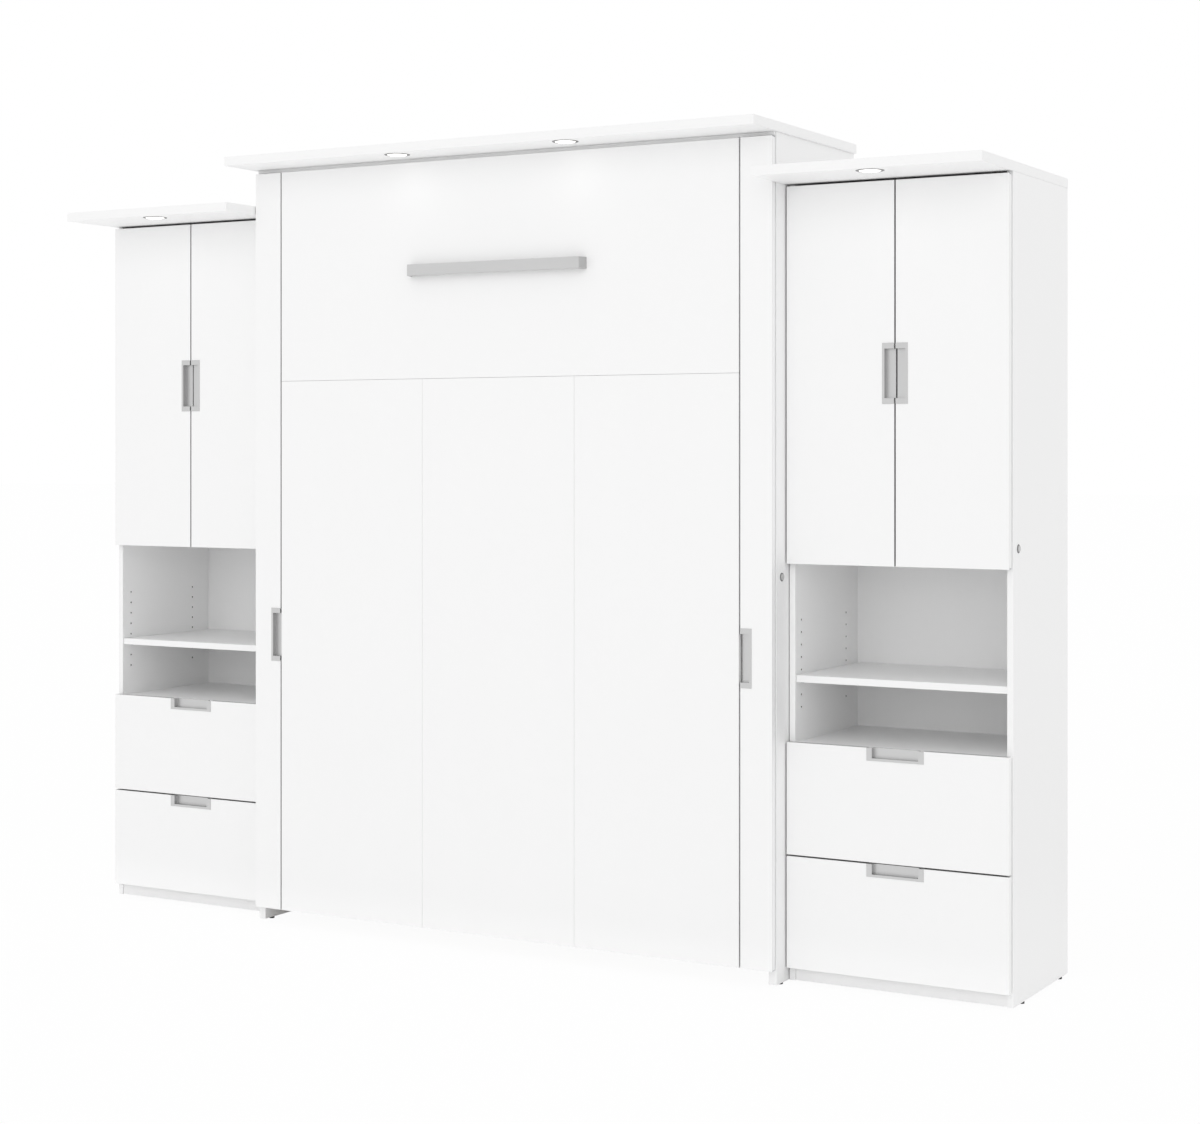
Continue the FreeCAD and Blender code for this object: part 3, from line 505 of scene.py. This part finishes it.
gap_shade_finish = finish("front edges, painted gap shade", painted_gap_shade)
doors = [f"{side}_{door}" for side in TOWERS for door in DOORS]
drawers = [f"{side}_{level}_drawer" for side in TOWERS for level in LEVELS]
for front in doors:
    eased(front, upright_front, FRONT_EDGE, second=gap_shade_finish, takes_second=facing_a_gap)
for drawer in drawers:
    eased(f"{drawer}_front", level_front, FRONT_EDGE, second=gap_shade_finish, takes_second=facing_a_gap)
eased("bed_upper_panel", level_front, BED_FACE_EDGE)
eased("bed_lower_panels", upright_front, BED_FACE_EDGE)


# Edge pulls: shallow cups pressed from sheet metal, nickel plated and brushed, let into the edge of
# each front. The flange lies on the board and is open at the edge, so that fingers reach in behind it.
PULL_EDGE = 0.25 * MM
PULL_SHORTEST = 2 * MM
NICKEL_ROUGH = 0.3
NICKEL_DARK = grey(0.58)
NICKEL_PALE = grey(0.68)
# Painted shade: faces of the nickel parts that don't look to the front take this darker grey.
NICKEL_SIDE_SHADE = grey(0.52)


def brushed_nickel(along):
    return satin_metal(NICKEL_DARK, NICKEL_PALE, NICKEL_ROUGH, along, NICKEL_SIDE_SHADE)


upright_nickel = finish("brushed nickel, upright", brushed_nickel("z"))
level_nickel = finish("brushed nickel, level", brushed_nickel("x"))
for door in doors:
    eased(f"{door}_pull", upright_nickel, PULL_EDGE, shortest=PULL_SHORTEST)
for drawer in drawers:
    eased(f"{drawer}_pull", level_nickel, PULL_EDGE, shortest=PULL_SHORTEST)


# Bed pull: a flat steel bar with both ends bent back, nickel plated and brushed, screwed on through
# the upper panel. It is the bed's foot when the bed is down.
BAR = 5 * MM
SPLAY = 8 * MM
BEND_IN = 0.5 * MM
BEND_OUT = 3 * MM
BAR_EDGE = 0.7 * MM
BAR_SHORTEST = 0.5 * MM
pull_low, pull_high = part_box("bed_handle")


def rounded_line(corners, radius, steps=8):
    """An open line through the corners, with an arc at each inner one."""
    line = [corners[0]]
    for before, corner, after in zip(corners, corners[1:], corners[2:]):
        back = (before - corner).normalized()
        on = (after - corner).normalized()
        half = back.angle(on) / 2
        middle = corner + (back + on).normalized() * radius / math.sin(half)
        start = (corner + back * radius / math.tan(half) - middle).normalized()
        end = (corner + on * radius / math.tan(half) - middle).normalized()
        line += [middle + radius * start.slerp(end, step / steps) for step in range(steps + 1)]
    return line + [corners[-1]]


slope = SPLAY / (pull_high.y - pull_low.y)
inward = BAR * math.hypot(1, slope)
front_half = pull_high.x - SPLAY
outside = [Vector((pull_low.x, pull_high.y)), Vector((-front_half, pull_low.y)),
           Vector((front_half, pull_low.y)), Vector((pull_high.x, pull_high.y))]
corner_in = front_half + slope * BAR - inward
inside = [Vector((pull_low.x + inward, pull_high.y)), Vector((-corner_in, pull_low.y + BAR)),
          Vector((corner_in, pull_low.y + BAR)), Vector((pull_high.x - inward, pull_high.y))]
outline = rounded_line(outside, BEND_OUT) + rounded_line(inside, BEND_IN)[::-1]
bar = bmesh.new()
lower = [bar.verts.new((point.x, point.y, pull_low.z)) for point in outline]
upper = [bar.verts.new((point.x, point.y, pull_high.z)) for point in outline]
count = len(outline)
for index in range(count):
    after = (index + 1) % count
    bar.faces.new((lower[index], lower[after], upper[after], upper[index]))
for index in range(count // 2 - 1):
    other = count - 1 - index
    bar.faces.new((lower[index], lower[index + 1], lower[other - 1], lower[other]))
    bar.faces.new((upper[index], upper[other], upper[other - 1], upper[index + 1]))
bmesh.ops.recalc_face_normals(bar, faces=bar.faces[:])
ease_edges(bar, BAR_EDGE, BAR_SHORTEST)
# The bar's bent ends and edges take the nickel's painted side shade.
piece("bed_handle_bar", bar, level_nickel, "bed", "nickel", "bed_handle")


# Hinges and shelf pins: small zinc-plated steel parts. Each hinge is a cranked leaf with a pin, on the
# front edge of an upright. The shelf pins push into the drilled rows.
ZINC_DARK = (0.50, 0.51, 0.53, 1)
ZINC_PALE = (0.68, 0.69, 0.70, 1)


def zinc_plate(wire):
    spangle = even_noise(wire, waves=260, detail=3)
    fine = drawn_noise(wire, "x", long=900, short=1500, detail=2)
    return {
        "Base Color": spangle.blend(ZINC_DARK, ZINC_PALE),
        "Metallic": 1,
        "Roughness": 0.3 + 0.2 * spangle,
        "Normal": relief(wire, fine, strength=0.15, depth=0.05 * MM),
    }


def dress(node, material):
    """Gives a CAD node that keeps its shape a new finish."""
    nodes[node].data.materials.clear()
    nodes[node].data.materials.append(material)


zinc = finish("zinc plate", zinc_plate)
dress("hinge_brackets", zinc)
dress("shelf_pins", zinc)


# Panel pins: small flat-headed nails of zinc-plated steel, driven in from the wall side.
# They hold the towers' backs to the fixed boards, and the bed's back to the partitions
# between the wall rails.
PIN_STEP = 145 * MM
PINS_IN_A_RUN = 6
RUN_STARTS = (180 * MM, 1240 * MM)
SHARES_OF_A_SHELF = (0.06, 0.28, 0.5, 0.72, 0.94)
HALF_A_PARTITION = 8 * MM
BACKWARD = (0, 1, 0)
BOTH_SIDES = (-1, 1)
pin_head = [(0, 0.7), (1.4, 0.65), (2.1, 0.35), (2.3, 0), (0, -0.1)]
tower_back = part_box("tower_backs")[1].y
bed_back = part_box("bed_back_panel")[1].y
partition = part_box("pivot_plates")[1].x + HALF_A_PARTITION
back_pins = []
for low, high in solids("tower_fixed_shelves"):
    for share in SHARES_OF_A_SHELF:
        across = low.x + share * (high.x - low.x)
        back_pins.append((Vector((across, tower_back, (low.z + high.z) / 2)), BACKWARD))
for start in RUN_STARTS:
    for side in BOTH_SIDES:
        for number in range(PINS_IN_A_RUN):
            place = Vector((side * partition, bed_back, start + PIN_STEP * number))
            back_pins.append((place, BACKWARD))
piece("back_panel_pins", turned(pin_head, back_pins, steps=20), zinc, "cabinet", "zinc")


# Bed frame: side rails with slat ledges and end rails, in clear-sealed birch plywood, and sanded beech
# laths. The rails are glued and screwed at the corners, and the laths drop on to the ledges.
RAIL_EDGE = 1.2 * MM
LATH_EDGE = 2.5 * MM
RAIL_ROUGH = 0.34
LATH_ROUGH = 0.36
BIRCH_DARK = (0.47, 0.31, 0.165, 1)
BIRCH_PALE = (0.70, 0.53, 0.33, 1)
BEECH_DARK = (0.53, 0.33, 0.20, 1)
BEECH_PALE = (0.72, 0.52, 0.35, 1)
LATE_WOOD = (0.9, 0.87, 0.82, 1)


def timber(along, dark, pale, rough):
    """Wood whose grain runs along x, y or z. Its late wood is a little darker than its pale wood."""
    late = [level * share for level, share in zip(pale, LATE_WOOD)]

    def surface(wire):
        growth = drawn_noise(wire, along, long=1.6, short=42, detail=4)
        pores = drawn_noise(wire, along, long=14, short=900, detail=3)
        flame = drawn_noise(wire, along, long=3, short=11, detail=2)
        tone = wire.node(
            "ShaderNodeValToRGB",
            {"stops": [(0.3, dark), (0.52, pale), (0.7, late)]},
            {"Fac": 0.6 * growth + 0.25 * flame + 0.15 * pores},
        )
        return {
            "Base Color": tone,
            "Roughness": rough + 0.15 * pores,
            "Normal": relief(wire, pores, strength=0.25, depth=0.1 * MM),
        }

    return surface


upright_birch = finish("birch rail", timber("z", BIRCH_DARK, BIRCH_PALE, RAIL_ROUGH))
level_birch = finish("birch, level grain", timber("x", BIRCH_DARK, BIRCH_PALE, RAIL_ROUGH))
beech = finish("beech lath", timber("x", BEECH_DARK, BEECH_PALE, LATH_ROUGH))
eased("bed_side_rails", upright_birch, RAIL_EDGE)
eased("bed_end_rails", level_birch, RAIL_EDGE)
eased("bed_slats", beech, LATH_EDGE)


# Lift gear: steel lift arms on the bed, pivot plates and strut anchors on the partitions, all powder
# coated black. They are bolted through the boards.
PLATE = 3.5 * MM
ARM = 4 * MM
PLATE_BOLT = 32 * MM
ANCHOR_BOLT_RISE = 20 * MM
ANCHOR_BOLT_RUN = 24 * MM
ARM_BOLT_RUNS = (-24 * MM, 28 * MM)
ARM_BOLT_RISES = (-15 * MM, 15 * MM)
BLACK_DARK = (0.022, 0.022, 0.023, 1)
BLACK_PALE = (0.040, 0.040, 0.042, 1)
bolt_profile = [
    (0, 1.2), (2, 1.2), (2.2, 2.3), (3, 2.4), (4.2, 2.1), (5, 1.3), (5.2, 0.8), (6.4, 0.8), (6.5, 0),
    (0, -0.2),
]


def powder_coat(dark, pale):
    """Matt paint baked on steel, with a fine orange peel."""

    def surface(wire):
        peel = even_noise(wire, waves=700, detail=2)
        cloud = even_noise(wire, waves=12, detail=3)
        return {
            "Base Color": cloud.blend(dark, pale),
            "Roughness": 0.42 + 0.16 * peel,
            "Normal": relief(wire, peel, strength=0.25, depth=0.08 * MM),
        }

    return surface


def bolt_ring(node, rise, run):
    """Four places about the middle of each plate of a node, on its inner face, each with its way out."""
    places = []
    for low, high in solids(node):
        inward = -1 if low.x > 0 else 1
        face = (high.x if low.x > 0 else low.x) + inward * PLATE
        middle = (low + high) / 2
        for y in (-run, run):
            for z in (-rise, rise):
                places.append((Vector((face, middle.y + y, middle.z + z)), (inward, 0, 0)))
    return places


coated_steel = finish("black powder coat", powder_coat(BLACK_DARK, BLACK_PALE))
for part in ("bed_lift_arms", "pivot_plates", "strut_anchors"):
    dress(part, coated_steel)

plate_bolts = bolt_ring("pivot_plates", PLATE_BOLT, PLATE_BOLT)
plate_bolts += bolt_ring("strut_anchors", ANCHOR_BOLT_RISE, ANCHOR_BOLT_RUN)
piece("lift_gear_bolts", turned(bolt_profile, plate_bolts, steps=32), zinc, "cabinet", "zinc")

arm_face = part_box("bed_side_rails")[1].x + ARM
pivot = (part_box("pivot_plates")[0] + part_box("pivot_plates")[1]) / 2
arm_bolts = []
for side in BOTH_SIDES:
    for y in ARM_BOLT_RUNS:
        for z in ARM_BOLT_RISES:
            arm_bolts.append((Vector((side * arm_face, pivot.y + y, pivot.z + z)), (side, 0, 0)))
piece("lift_arm_bolts", turned(bolt_profile, arm_bolts, steps=32), zinc, "bed", "zinc")


# Gas struts: black painted steel tubes that hang from the anchors, and ground and chromed rods that
# push on the lift arms.
TUBE_DARK = (0.016, 0.016, 0.017, 1)
TUBE_PALE = (0.026, 0.026, 0.028, 1)
CHROME_DARK = (0.62, 0.62, 0.63, 1)
CHROME_PALE = (0.72, 0.72, 0.73, 1)


def chromed(wire):
    haze = drawn_noise(wire, "z", long=40, short=600, detail=2)
    return {
        "Base Color": haze.blend(CHROME_DARK, CHROME_PALE),
        "Metallic": 1,
        "Roughness": 0.08 + 0.1 * haze,
    }


dress("strut_cylinders", finish("black strut paint", powder_coat(TUBE_DARK, TUBE_PALE)))
dress("strut_rods", finish("polished rod", chromed))


# Drawers: boxes of 14 mm board wrapped in white foil, with a groove in each side and four screws into
# the front. They run on strips of the same board, which are screwed to the towers' sides.
DRAWER_BOARD = 14 * MM
FOIL_EDGE = 0.8 * MM
SCREW_OUT = 150 * MM
SCREW_RISE = 55 * MM
FOIL_DARK = (0.84, 0.84, 0.83, 1)
FOIL_PALE = (0.91, 0.91, 0.90, 1)
screw_profile = [(0, 0.9), (1.6, 0.9), (1.9, 1.6), (3.2, 1.5), (4, 0.9), (4.2, 0), (0, -0.2)]


def foil(wire):
    """Printed foil, a little greyer than the melamine, with a fine linen weave."""
    level = drawn_noise(wire, "y", long=60, short=1100, detail=3)
    upright = drawn_noise(wire, "z", long=60, short=1100, detail=3)
    weave = 0.5 * level + 0.5 * upright
    return {
        "Base Color": weave.blend(FOIL_DARK, FOIL_PALE),
        "Roughness": 0.4 + 0.16 * weave,
        "Normal": relief(wire, weave, strength=0.25, depth=0.08 * MM),
    }


white_foil = finish("white foil", foil)
for drawer in drawers:
    eased(f"{drawer}_box", white_foil, FOIL_EDGE, in_triangles=True)
    low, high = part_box(f"{drawer}_box")
    middle = (low + high) / 2
    screws = []
    for out in (-SCREW_OUT, SCREW_OUT):
        for rise in (-SCREW_RISE, SCREW_RISE):
            screws.append((Vector((middle.x + out, low.y + DRAWER_BOARD, middle.z + rise)), BACKWARD))
    piece(f"{drawer}_screws", turned(screw_profile, screws, steps=24), zinc, drawer, "zinc")
eased("drawer_strips", white_foil, FOIL_EDGE)


# Glides: round feet of black nylon.
# Each is nailed into the lower edge of a side, so that the board stands clear of the floor.
NYLON_DARK = (0.012, 0.012, 0.013, 1)
NYLON_PALE = (0.026, 0.026, 0.027, 1)


def nylon(wire):
    pits = even_noise(wire, waves=900, detail=3)
    return {
        "Base Color": pits.blend(NYLON_DARK, NYLON_PALE),
        "Roughness": 0.42 + 0.2 * pits,
        "Normal": relief(wire, pits, strength=0.2, depth=0.05 * MM),
    }


dress("glides", finish("black nylon", nylon))


# Studio: a pale floor that shows white and keeps some shadow, a white surround and a soft lamp in front.
# Flat lamps at the floor light the crowns from below and the toe boards, and small spots stand for the
# light that the pucks throw.
SEEN_BY = ("Camera", "Glossy", "Transmission")
SURROUND = 0.86
FLOOR_HALF = 60
FLOOR_WHITE = 0.97
FLOOR_GLOW = 0.96
FAR_LAMP_WIDTH = math.radians(60)
PUCK_POWER = 0.04
PUCK_CONE = math.radians(170)
PUCK_RADIUS = 25 * MM
PUCK_GAP = 8 * MM


def seen_directly(wire):
    """1 for what the camera, a mirror or a clear piece sees, 0 for light that falls on things."""
    camera_ray, glossy_ray, clear_ray = [
        wire.node("ShaderNodeLightPath", out=f"Is {ray} Ray") for ray in SEEN_BY
    ]
    return camera_ray.or_more(glossy_ray).or_more(clear_ray)


world = bpy.data.worlds.new("white studio")
bpy.context.scene.world = world
world.use_nodes = True
world.node_tree.nodes.clear()
sky = Wire(world.node_tree)
lighting = sky.node("ShaderNodeBackground", {}, {"Color": grey(1), "Strength": SURROUND})
backdrop = sky.node("ShaderNodeBackground", {}, {"Color": grey(1), "Strength": 1})
mixed_sky = sky.node("ShaderNodeMixShader", {}, {0: seen_directly(sky), 1: lighting, 2: backdrop})
sky.node("ShaderNodeOutputWorld", {}, {"Surface": mixed_sky})

floor_mesh = bpy.data.meshes.new("floor")
corners = [(-FLOOR_HALF, -FLOOR_HALF, 0), (FLOOR_HALF, -FLOOR_HALF, 0),
           (FLOOR_HALF, FLOOR_HALF, 0), (-FLOOR_HALF, FLOOR_HALF, 0)]
floor_mesh.from_pydata(corners, [], [(0, 1, 2, 3)])
floor = bpy.data.objects.new("floor", floor_mesh)
bpy.context.scene.collection.objects.link(floor)
floor_paint = bpy.data.materials.new("white floor")
floor_paint.use_nodes = True
floor_paint.node_tree.nodes.clear()
ground = Wire(floor_paint.node_tree)
shadowed = ground.node("ShaderNodeBsdfDiffuse", {}, {"Color": grey(FLOOR_WHITE)})
glowing = ground.node("ShaderNodeEmission", {}, {"Color": grey(1), "Strength": 1})
glow_share = FLOOR_GLOW * seen_directly(ground)
mixed_floor = ground.node("ShaderNodeMixShader", {}, {0: glow_share, 1: shadowed, 2: glowing})
ground.node("ShaderNodeOutputMaterial", {}, {"Surface": mixed_floor})
floor_mesh.materials.append(floor_paint)


def lamp(name, kind, place, aim, energy):
    light = bpy.data.lights.new(name, kind)
    light.energy = energy
    made = bpy.data.objects.new(name, light)
    made.location = place
    made.rotation_euler = (Vector(aim) - Vector(place)).to_track_quat("-Z", "Y").to_euler()
    made.visible_camera = False
    made.visible_glossy = False
    bpy.context.scene.collection.objects.link(made)
    return light


def far_lamp(name, azimuth, rise, energy):
    """A wide soft lamp, far off: azimuth 0 is straight in front and 90 to the right, in degrees."""
    around = math.radians(azimuth)
    lift = math.radians(rise)
    place = (math.sin(around) * math.cos(lift), -math.cos(around) * math.cos(lift), math.sin(lift))
    lamp(name, "SUN", place, (0, 0, 0), energy).angle = FAR_LAMP_WIDTH


def flat_lamp(name, place, aim, energy, width, depth, spread):
    """A rectangular lamp whose light stays within spread degrees."""
    light = lamp(name, "AREA", place, aim, energy)
    light.shape = "RECTANGLE"
    light.size = width
    light.size_y = depth
    light.spread = math.radians(spread)


far_lamp("front lamp", azimuth=12, rise=8, energy=0.5)
flat_lamp("uplight on the floor", place=(0.1, -0.8, 0.02), aim=(0.1, -0.79, 2.2),
          energy=2, width=4, depth=0.9, spread=40)
flat_lamp("low light on the toe boards", place=(0, -0.75, 0.03), aim=(0, 0, 0.03),
          energy=0.06, width=3.4, depth=0.04, spread=20)
for (x, y, z), _ in light_places:
    spot = lamp("puck light", "SPOT", (x, y, z - PUCK_GAP), (x, y, 0), PUCK_POWER)
    spot.spot_size = PUCK_CONE
    spot.spot_blend = 1
    spot.shadow_soft_size = PUCK_RADIUS


# Camera: level, to the right of the set and at about chest height.
# The picture is shifted down as in the photograph, so that uprights stay upright.
CAMERA_PLACE = (3.2307, -5.3117, 1.3634)
CAMERA_TURN = math.radians(29.61)
LENS = 67.14
SENSOR = 36
SHIFT = -0.0945
camera = bpy.data.cameras.new("camera")
camera.lens = LENS
camera.sensor_width = SENSOR
camera.sensor_fit = "HORIZONTAL"
camera.shift_y = SHIFT
viewer = bpy.data.objects.new("camera", camera)
viewer.location = CAMERA_PLACE
viewer.rotation_euler = (math.pi / 2, 0, CAMERA_TURN)
bpy.context.scene.collection.objects.link(viewer)
bpy.context.scene.camera = viewer
bpy.context.scene.view_settings.view_transform = "Standard"
